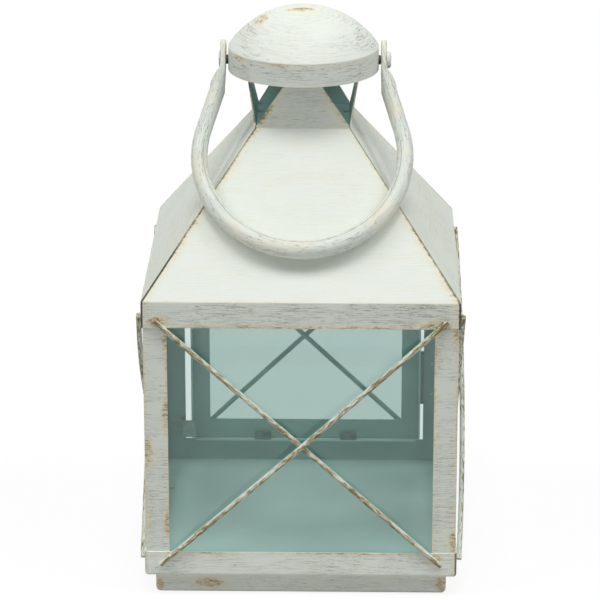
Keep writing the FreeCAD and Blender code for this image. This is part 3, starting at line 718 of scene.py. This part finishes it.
def rubbed(g, colour, wear, places):
    """Adds a warm halo, tan and brown where paint is rubbed off. Returns the colour and the bare core."""
    grain = g.step(g.noise(g.scaled(g.point, GRAIN_CELLS), detail=5, roughness=0.8), *GRAIN_RANGE)
    patches = g.step(g.noise(g.point, PATCH_CELLS), *PATCH_RANGE)
    rub = g.times(wear, g.uneven(patches, EVEN_WEAR, PATCHY_WEAR))
    if places:
        rub = g.most(rub, g.times(g.spots(places), SPOT_WEAR))
    worn_through = g.add(rub, g.times(grain, GRAIN_WEAR))
    core = g.step(worn_through, *CORE_RANGE)
    colour = g.mix(g.times(g.step(rub, *HALO_RANGE), HALO_SHARE), colour, PEACH)
    colour = g.mix(g.times(g.step(worn_through, *TAN_RANGE), TAN_SHARE), colour, TAN)
    colour = g.mix(g.times(core, BROWN_SHARE), colour, BROWN)
    return colour, core


def painted_inside(g, colour, slow, inside):
    """Teal-grey on the faces that look inward, with painted light: a paler teal on those that lie flat.
    """
    blend = g.step(slow, *INSIDE_TONE_RANGE)
    lying_painted_light = g.step(g.split(g.normal)[2], *LYING_PAINTED_LIGHT_RANGE)
    tone = g.mix(lying_painted_light, g.mix(blend, *inside), g.mix(blend, INSIDE_PAINTED_LIGHT, INSIDE_PAINTED_LIGHT_DARK))
    height = g.times(g.add(g.z, -INNER_Z), INNER_RISE)
    outward = g.dot(g.normal, g.vector(g.x, g.y, height))
    return g.mix(g.step(outward, INWARD_CHANGE, -INWARD_CHANGE), colour, tone)


def whitewash(name, worn, strokes_on=all_over, places=(), joints=None, painted_light=None, down=level,
              painted_highlight_z=None, inside=(INSIDE, INSIDE_DARK)):
    """Brushed off-white paint over brown, rubbed through at the edges, with teal-grey paint inside. It
    can add painted light, a painted highlight and painted shade in the joints.
    """
    g = Surface(name)
    slow = g.noise(g.point, TONE_CELLS)
    colour = g.mix(g.step(slow, *TONE_RANGE), WHITE, CREAM)
    # Painted light: a whiter tone where the given mask is 1
    if painted_light:
        colour = g.mix(g.times(painted_light(g), PAINTED_LIGHT_SHARE), colour, PAINTED_LIGHT_WHITE)
    stains = g.noise(g.scaled(g.point, STAIN_CELLS), detail=4, roughness=0.65)
    colour = g.mix(g.times(g.step(stains, *STAIN_RANGE), STAIN_SHARE), colour, PEACH)
    colour, strokes, flecks = brushed(g, colour, slow, down(g), strokes_on(g))
    colour, core = rubbed(g, colour, worn(g), places)
    # Painted shade: near black in the open joints
    if joints:
        colour = g.mix(g.times(joints(g), JOINT_SHADE_SHARE), colour, JOINT_SHADE)
    # Painted highlight: a bright line along the cap's fold at this height
    if painted_highlight_z:
        colour = g.mix(g.times(g.near(g.z, painted_highlight_z, CAP_PAINTED_HIGHLIGHT_REACH), PAINTED_HIGHLIGHT_SHARE), colour, PAINTED_LIGHT_WHITE)
    colour = painted_inside(g, colour, slow, inside)
    roughness = g.add(g.uneven(strokes, *PAINT_ROUGHNESS), g.times(core, CORE_ROUGHNESS))
    height = g.add(strokes, g.times(flecks, FLECK_RELIEF), g.times(core, CORE_RELIEF))
    return g.painted(colour, roughness, height, PAINT_DEPTH, PAINT_GLOSS)


# Paint of the handle

def handle_places(g):
    """Length along the handle from its bow's middle, distance out from the tube's middle line, depth."""
    values = {"Vector": g.point, "Center": (0, 0, pivot_z), "Angle": HANDLE_REST}
    hanging = g.node("ShaderNodeVectorRotate", values, rotation_type="X_AXIS").outputs[0]
    x, depth, z = g.split(hanging)
    rise = g.add(z, BOW_DROP - pivot_z)
    side = g.size(x)
    angle = g.math("ARCTAN2", rise, side)
    bow_out = g.add(g.math("SQRT", g.add(g.times(side, side), g.times(rise, rise))), -BOW_R)
    arm_out = g.add(g.times(side, math.cos(bow_lean)), g.times(rise, math.sin(bow_lean)), -BOW_R)
    up_arm = g.add(g.times(side, -math.sin(bow_lean)), g.times(rise, math.cos(bow_lean)))
    on_arm = g.math("GREATER_THAN", up_arm, 0.0)
    bow_length = g.times(g.math("MINIMUM", angle, bow_lean), BOW_R)
    length = g.add(bow_length, g.math("MAXIMUM", up_arm, 0.0), BOW_R * math.pi / 2)
    out = g.add(bow_out, g.times(on_arm, g.add(arm_out, g.times(bow_out, -1))))
    return g.times(length, g.math("SIGN", x)), out, depth


def handle_paint():
    """The same paint, brushed along the handle, with painted shade along its seam."""
    g = Surface("handle_whitewash")
    length, out, depth = handle_places(g)
    place = g.vector(length, out, depth)
    slow = g.noise(place, HANDLE_TONE_CELLS)
    dry = g.noise(g.scaled(place, HANDLE_DRY_CELLS), detail=3)
    strokes = g.noise(g.scaled(place, HANDLE_STROKE_CELLS), detail=4, roughness=0.7)
    flecks = g.noise(g.scaled(place, HANDLE_FLECK_CELLS), detail=3, roughness=0.7)
    colour = g.mix(g.step(slow, *HANDLE_TONE_RANGE), WHITE, CREAM)
    stroke = g.times(g.step(strokes, *HANDLE_STROKE_RANGE), g.step(dry, *HANDLE_STROKE_DRY_RANGE))
    colour = g.mix(g.times(stroke, HANDLE_STROKE_SHARE), colour, GREY)
    fleck = g.times(g.step(flecks, *HANDLE_FLECK_RANGE), g.step(dry, *FLECK_DRY_RANGE))
    colour = g.mix(g.times(fleck, HANDLE_FLECK_SHARE), colour, SOOT_AND_SHADE)
    colour = g.mix(g.times(g.step(slow, *HANDLE_WARM_RANGE), HANDLE_WARM_SHARE), colour, PEACH)
    ends = g.step(g.size(length), half_bow_length * HANDLE_WORN_FROM, half_bow_length + arm_length)
    edge = g.step(g.size(depth), *(FLAT_W * share for share in HANDLE_EDGE))
    end_wear = g.times(ends, g.uneven(edge, HANDLE_END_WEAR, HANDLE_EDGE_WEAR))
    rub = g.uneven(strokes, end_wear, HANDLE_STREAK_WEAR)
    colour = g.mix(g.times(g.step(rub, *HANDLE_TAN_RANGE), HANDLE_TAN_SHARE), colour, TAN)
    colour = g.mix(g.times(g.step(rub, *HANDLE_BROWN_RANGE), HANDLE_BROWN_SHARE), colour, BROWN)
    # Painted shade: a dark line along the seam's groove on the bow
    seam = g.near(g.math("ARCTAN2", out, depth), SEAM_ANGLE - 2 * math.pi, SEAM_HALF * SEAM_SHADE)
    on_bow = g.step(g.size(length), half_bow_length, half_bow_length * HANDLE_SEAM_FADE)
    colour = g.mix(g.times(seam, on_bow, HANDLE_SEAM_SHADE_SHARE), colour, SOOT_AND_SHADE)
    height = g.add(strokes, g.times(flecks, FLECK_RELIEF))
    return g.painted(colour, g.uneven(strokes, *HANDLE_ROUGHNESS), height, HANDLE_DEPTH, HANDLE_GLOSS)


# Rods, welds, small pieces and panes

def wire_line(node):
    """Middle of a crossed rod, and the vector from there to its upper end."""
    low, high = (Vector(corner_place) for corner_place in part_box(node))
    span = high - low
    thin = min(span)
    level_axis = 0 if span.x > span.y else 1
    top = max(frame["nodes"][node].data.vertices, key=lambda vertex: vertex.co.z).co
    middle = (low + high) / 2
    half = Vector((0, 0, (span.z - thin) / 2))
    half[level_axis] = math.copysign((span[level_axis] - thin) / 2, top[level_axis] - middle[level_axis])
    return middle, half


def rod_paint(node, teal_within):
    """Off-white paint over brown, streaked along a rod and most worn on its outer face and upper end,
    with painted shade making its lower faces browner.
    """
    g = Surface(node + "_paint")
    middle, half = wire_line(node)
    direction = half.normalized()
    along = g.add(g.dot(g.point, tuple(direction)), -middle.dot(direction))
    across = g.vectors("CROSS_PRODUCT", g.point, tuple(direction))["Vector"]
    across = g.scaled(across, ROD_ACROSS_CELLS)
    lengthwise = g.vector(*(g.times(along, ROD_ALONG_CELLS * part) for part in direction))
    streaks = g.noise(g.vectors("ADD", across, lengthwise)["Vector"], detail=4, roughness=0.75)
    slow = g.noise(g.point, ROD_TONE_CELLS, detail=3)
    upper_end = g.times(g.step(along, half.length * ROD_WORN_FROM, half.length), ROD_END_WEAR)
    outer = 1 if half.x else 0
    outer_face = g.times(g.split(g.normal)[outer], math.copysign(ROD_FACE_WEAR, middle[outer]))
    # Painted shade: lower faces browner, upper faces whiter
    underside_shade = g.times(g.split(g.normal)[2], -ROD_UNDER_SHADE)
    streaky = g.add(g.times(streaks, ROD_STREAK_WEAR), g.times(slow, ROD_TONE_WEAR))
    worn = g.add(streaky, upper_end, outer_face, underside_shade)
    colour = g.mix(g.times(g.step(worn, *ROD_TAN_RANGE), ROD_SHARE), WHITE, ROD_TAN)
    colour = g.mix(g.times(g.step(worn, *ROD_BROWN_RANGE), ROD_SHARE), colour, ROD_BROWN)
    if teal_within:
        inward = g.step(g.split(g.normal)[1], *ROD_INWARD_RANGE)
        # Painted light: the rods' inner side mixes in the paler inside tone
        teal = g.mix(g.step(streaks, *ROD_TEAL_RANGE), INSIDE_PAINTED_LIGHT_DARK, INSIDE)
        colour = g.mix(inward, colour, teal)
    return g.painted(colour, g.uneven(streaks, *ROD_ROUGHNESS), streaks, ROD_DEPTH, ROD_GLOSS)


def weld_paint():
    """Brown weld with tan blotches."""
    g = Surface("weld")
    blotch = g.noise(g.point, WELD_CELLS, detail=4, roughness=0.7)
    colour = g.mix(g.step(blotch, *WELD_RANGE), BROWN, TAN)
    return g.painted(colour, g.uneven(blotch, *WELD_ROUGHNESS), blotch, WELD_DEPTH, WELD_GLOSS)


def clip_paint(name, dark, light):
    """Dull teal paint of small inner pieces."""
    g = Surface(name)
    blotch = g.noise(g.point, CLIP_CELLS, detail=4, roughness=0.65)
    colour = g.mix(g.step(blotch, *CLIP_RANGE), dark, light)
    return g.painted(colour, g.uneven(blotch, *CLIP_ROUGHNESS), blotch, CLIP_DEPTH, CLIP_GLOSS)


def dark_steel(name, paint=0.0):
    """Dark steel, with a share of cream paint left on it in blotches."""
    g = Surface(name)
    spots = g.noise(g.point, STEEL_CELLS, detail=4, roughness=0.65)
    colour = g.mix(spots, STEEL, STEEL_WORN)
    if paint:
        slow = g.noise(g.point, STEEL_TONE_CELLS)
        colour = g.mix(g.times(g.step(g.add(spots, slow), *LEFT_PAINT_RANGE), paint), colour, CREAM)
    return g.painted(colour, g.uneven(spots, *STEEL_ROUGHNESS), spots, STEEL_DEPTH, STEEL_GLOSS)


def clear_glass():
    """Faintly green pane that lets light from outside through."""
    g = Surface("clear_glass_pane")
    ripple = g.noise(g.point, RIPPLE_CELLS)
    specks = g.noise(g.point, SPECK_CELLS, detail=3)
    bump = g.node("ShaderNodeBump", {"Height": ripple, "Distance": PANE_DEPTH, "Strength": PANE_RIPPLE})
    tone = g.mix(ripple, PANE, PANE_DEEP)
    values = {"Base Color": tone, "Roughness": g.uneven(specks, *PANE_ROUGHNESS),
              "Normal": bump.outputs[0], "Transmission Weight": 1.0, "IOR": PANE_IOR}
    glass = g.node("ShaderNodeBsdfPrincipled", values)
    clear = g.node("ShaderNodeBsdfTransparent", {"Color": PASSING})
    path = g.node("ShaderNodeLightPath").outputs
    passing = g.most(path["Is Shadow Ray"], path["Is Diffuse Ray"])
    both = g.node("ShaderNodeMixShader", {0: passing, 1: glass.outputs[0], 2: clear.outputs[0]})
    g.node("ShaderNodeOutputMaterial", {0: both.outputs[0]})
    return g.owner


# Stage

def add_object(name, data):
    made = bpy.data.objects.new(name, data)
    bpy.context.collection.objects.link(made)
    return made


def add_camera():
    data = bpy.data.cameras.new("camera")
    data.lens = CAMERA_LENS
    camera = add_object("camera", data)
    camera.location = CAMERA_PLACE
    camera.rotation_euler = (CAMERA_TILT, 0.0, CAMERA_TURN)
    bpy.context.scene.camera = camera


def add_lamp(name, turn, height, strength, softness):
    data = bpy.data.lights.new(name, "SUN")
    data.energy = strength
    data.angle = softness
    lamp = add_object(name, data)
    lamp.rotation_euler = (math.pi / 2 - height, 0.0, turn)


def add_sky():
    """White as seen, and weaker for the rays that light the object."""
    g = Graph(bpy.data.worlds.new("studio"))
    values = {"Value": g.seen(), "To Min": SKY_STRENGTH, "To Max": 1.0}
    strength = g.node("ShaderNodeMapRange", values).outputs[0]
    sky = g.node("ShaderNodeBackground", {"Color": PURE_WHITE, "Strength": strength})
    g.node("ShaderNodeOutputWorld", {"Surface": sky.outputs[0]})
    bpy.context.scene.world = g.owner


def add_floor():
    """Nearly white as seen, with the lantern's shadow, and greyer for light that bounces off it."""
    g = Graph(bpy.data.materials.new("studio_floor"))
    low = (FLOOR_BOUNCE, FLOOR_BOUNCE, FLOOR_BOUNCE, 1)
    shown = g.seen()
    lit = g.node("ShaderNodeBsdfDiffuse", {"Color": g.mix(shown, low, PURE_WHITE)})
    glow = g.node("ShaderNodeEmission", {"Color": PURE_WHITE, "Strength": 1.0})
    share = g.times(shown, FLOOR_GLOW)
    both = g.node("ShaderNodeMixShader", {0: share, 1: lit.outputs[0], 2: glow.outputs[0]})
    g.node("ShaderNodeOutputMaterial", {0: both.outputs[0]})
    signs = ((-1, -1), (1, -1), (1, 1), (-1, 1))
    corners = [(x * FLOOR_HALF, y * FLOOR_HALF, -FLOOR_DROP) for x, y in signs]
    mesh = bpy.data.meshes.new("floor")
    mesh.from_pydata(corners, [], [(0, 1, 2, 3)])
    mesh.materials.append(g.owner)
    floor = add_object("floor", mesh)


# Welds

def add_welds(side, body, normal):
    """One lumpy weld at the upper end of each of a side's two rods."""
    outline = bmesh.new()
    size = Matrix.Diagonal([WELD_T if part else WELD_R for part in normal] + [1])
    for wire in ("a", "b"):
        middle, half = wire_line(f"{side}_wire_{wire}")
        place = middle + half * WELD_PLACE - Vector(normal) * WELD_SINK
        made = bmesh.ops.create_icosphere(outline, subdivisions=WELD_FINENESS, radius=1.0, matrix=size)
        for vertex in made["verts"]:
            lump = noise.noise(vertex.co * WELD_LUMPS + place * WELD_APART)
            vertex.co = place + vertex.co * (1 + WELD_UNEVEN * lump)
    mesh = bpy.data.meshes.new(f"{side}_welds")
    outline.to_mesh(mesh)
    outline.free()
    mesh.shade_smooth()
    mesh.materials.append(weld_paint())
    welds = add_object(f"{side}_welds", mesh)
    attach(welds, body)


# Handle

def handle_place(length):
    """Point of the hanging right half at a length below the flattened end: x, height, heading, radius."""
    turn = min(length / ARM_BEND_R, bow_lean)
    along = min(max(length - bend_length, 0.0), arm_length)
    if length <= bend_length + arm_length:
        x = FLAT_X + ARM_BEND_R * (1 - math.cos(turn)) + along * math.sin(bow_lean)
        height = flat_low - ARM_BEND_R * math.sin(turn) - along * math.cos(bow_lean)
        return x, height, turn, ARM_TUBE_R
    share = (length - bend_length - arm_length) / half_bow_length
    angle = bow_lean - (bow_lean + math.pi / 2) * share
    radius = ARM_TUBE_R + (BOW_TUBE_R - ARM_TUBE_R) * share
    return BOW_R * math.cos(angle), BOW_R * math.sin(angle) - BOW_DROP, angle, radius


def section_angles():
    """Even steps round the tube, with three close ones across the seam."""
    even = [2 * math.pi * k / HANDLE_SIDES for k in range(HANDLE_SIDES)]
    clear = [angle for angle in even if abs(angle - SEAM_ANGLE) > 2 * SEAM_HALF]
    return sorted(clear + [SEAM_ANGLE - SEAM_HALF, SEAM_ANGLE, SEAM_ANGLE + SEAM_HALF])


def ring(x, height, heading, thick, wide, squareness, seam):
    """Points of one section of the right half, hanging."""
    points = []
    for angle in section_angles():
        c, s = math.cos(angle), math.sin(angle)
        shrink = 1 - seam / thick if angle == SEAM_ANGLE else 1
        across = math.copysign(abs(s) ** (2 / squareness), s) * thick * shrink
        deep = math.copysign(abs(c) ** (2 / squareness), c) * wide * shrink
        points.append(Vector((x + across * math.cos(heading), deep, height + across * math.sin(heading))))
    return points


def end_rings():
    """Sections of the flattened right end, from its rounded tip down."""
    z_round = FLAT_END - FLAT_END_R
    heights = [z_round + FLAT_END_R * math.cos(math.radians(angle)) for angle in TIP_ANGLES]
    heights += [z_round + (flat_low - z_round) * k / FLAT_STEPS for k in range(1, FLAT_STEPS)]
    rings = []
    for height in heights:
        over = max(height - z_round, 0.0)
        wide = min(FLAT_W / 2, math.sqrt(FLAT_END_R ** 2 - over ** 2))
        past = max(over - (FLAT_END_R - FLAT_EDGE_R), 0.0)
        thick = min(FLAT_T / 2, math.sqrt(FLAT_EDGE_R ** 2 - past ** 2))
        rings.append(ring(FLAT_X, height, 0.0, thick, wide, FLAT_SQUARENESS, 0.0))
    return rings


def tube_rings():
    """Sections from where the end turns into tube to the middle of the bow."""
    total = bend_length + arm_length + half_bow_length
    rings = []
    for k in range(HANDLE_RINGS + 1):
        length = total * k / HANDLE_RINGS
        x, height, heading, radius = handle_place(length)
        share = math.sin(min((flat_low - height) / MORPH_L, 1.0) * math.pi / 2)
        thick = FLAT_T / 2 + (radius - FLAT_T / 2) * share
        wide = FLAT_W / 2 + (radius - FLAT_W / 2) * share
        squareness = FLAT_SQUARENESS + (2 - FLAT_SQUARENESS) * share
        if share < 1:
            x = max(x, FLAT_X - FLAT_T / 2 + thick)
        fade = min(max((length - bend_length - arm_length) / SEAM_FADE, 0.0), 1.0)
        rings.append(ring(x, height, heading, thick, wide, squareness, SEAM_DEPTH * fade))
    return rings


def handle_faces(sections, side_count):
    """Quads between the sections, and triangles to the two tips, which are the last two points."""
    faces = []
    for k in range(sections - 1):
        for j in range(side_count):
            a = k * side_count + j
            b = k * side_count + (j + 1) % side_count
            faces.append((a, b, b + side_count, a + side_count))
    right_tip = sections * side_count
    left_tip = right_tip + 1
    last = (sections - 1) * side_count
    for j in range(side_count):
        faces.append((right_tip, (j + 1) % side_count, j))
        faces.append((left_tip, last + j, last + (j + 1) % side_count))
    return faces


def add_handle():
    right = end_rings() + tube_rings()
    left = [[Vector((-p.x, p.y, p.z)) for p in section] for section in right[-2::-1]]
    sections = right + left
    tips = [Vector((side * FLAT_X, 0, FLAT_END)) for side in (1, -1)]
    swing = Matrix.Translation((0, 0, pivot_z)) @ Matrix.Rotation(-HANDLE_REST, 4, "X")
    points = [swing @ p for section in sections + [tips] for p in section]
    mesh = bpy.data.meshes.new("handle_bail")
    mesh.from_pydata(points, [], handle_faces(len(sections), len(sections[0])))
    shell = bmesh.new()
    shell.from_mesh(mesh)
    bmesh.ops.recalc_face_normals(shell, faces=shell.faces)
    shell.to_mesh(mesh)
    shell.free()
    mesh.shade_smooth()
    mesh.materials.append(handle_paint())
    bail = add_object("handle_bail", mesh)
    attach(bail, "handle")
    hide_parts("handle")


# Materials of the CAD nodes

def paint_nodes():
    plain = whitewash("inner_whitewash", nowhere)
    roof = whitewash("roof_whitewash", roof_wear, roof_strokes, ROOF_SPOTS, roof_joint_shade, roof_painted_light)
    post = whitewash("post_whitewash", post_wear, post_strokes, POST_SPOTS)
    single = {
        # Painted light: the tray, the foot and the cap's dome are painted whiter
        "base_tray": whitewash("tray_whitewash", tray_wear, places=TRAY_SPOTS, joints=tray_joint_shade,
                               painted_light=all_over),
        "foot_plinth": whitewash("foot_whitewash", foot_wear, foot_strokes, FOOT_SPOTS, painted_light=all_over),
        "cap": whitewash("cap_whitewash", cap_wear, cap_strokes, CAP_SPOTS, painted_light=cap_painted_light,
                         down=dome_level, painted_highlight_z=band_z),
        # Painted light: the door's inner side is paler teal all over
        "door_frame": whitewash("door_whitewash", door_wear, inside=(INSIDE_PAINTED_LIGHT, INSIDE_PAINTED_LIGHT_DARK)),
        "door_glass_clips": clip_paint("clip_teal", CLIP, CLIP_LIGHT),
        # Painted shade: the stop tabs get a darker teal than the inside
        "door_stop_tabs": clip_paint("tab_teal", STOP_TAB_SHADE, STOP_TAB_SHADE_LIGHT),
    }
    bare = dark_steel("bare_steel")
    rivet = dark_steel("painted_steel", paint=0.95)
    latch = dark_steel("rubbed_steel", paint=0.35)
    glass = clear_glass()
    for name, node in frame["nodes"].items():
        if name in single:
            material = single[name]
        elif name.startswith("roof_panel"):
            material = roof
        elif name.startswith("corner_post"):
            material = post
        elif name.endswith("_glass"):
            material = glass
        elif name.startswith("latch"):
            material = latch
        elif "_wire_" in name:
            material = rod_paint(name, teal_within=name.startswith("door"))
        elif "spacer" in name or "pin" in name:
            material = bare
        elif "rivet" in name:
            material = rivet
        else:
            material = plain
        for slot in node.material_slots:
            slot.material = material


add_camera()
add_lamp("key_lamp", 0.0, KEY_HEIGHT, KEY_STRENGTH, KEY_SOFTNESS)
add_lamp("left_lamp", -SIDE_TURN, SIDE_HEIGHT, SIDE_STRENGTH, SIDE_SOFTNESS)
add_lamp("right_lamp", SIDE_TURN, SIDE_HEIGHT, SIDE_STRENGTH, SIDE_SOFTNESS)
add_lamp("front_lamp", 0.0, FRONT_HEIGHT, FRONT_STRENGTH, FRONT_SOFTNESS)
add_lamp("back_lamp", math.pi, BACK_HEIGHT, BACK_STRENGTH, BACK_SOFTNESS)
add_sky()
add_floor()
paint_nodes()
add_handle()
add_welds("front", "lantern", (0, -1, 0))
add_welds("left", "lantern", (-1, 0, 0))
add_welds("right", "lantern", (1, 0, 0))
add_welds("door", "door", (0, 1, 0))

bpy.context.scene.view_settings.view_transform = "Standard"
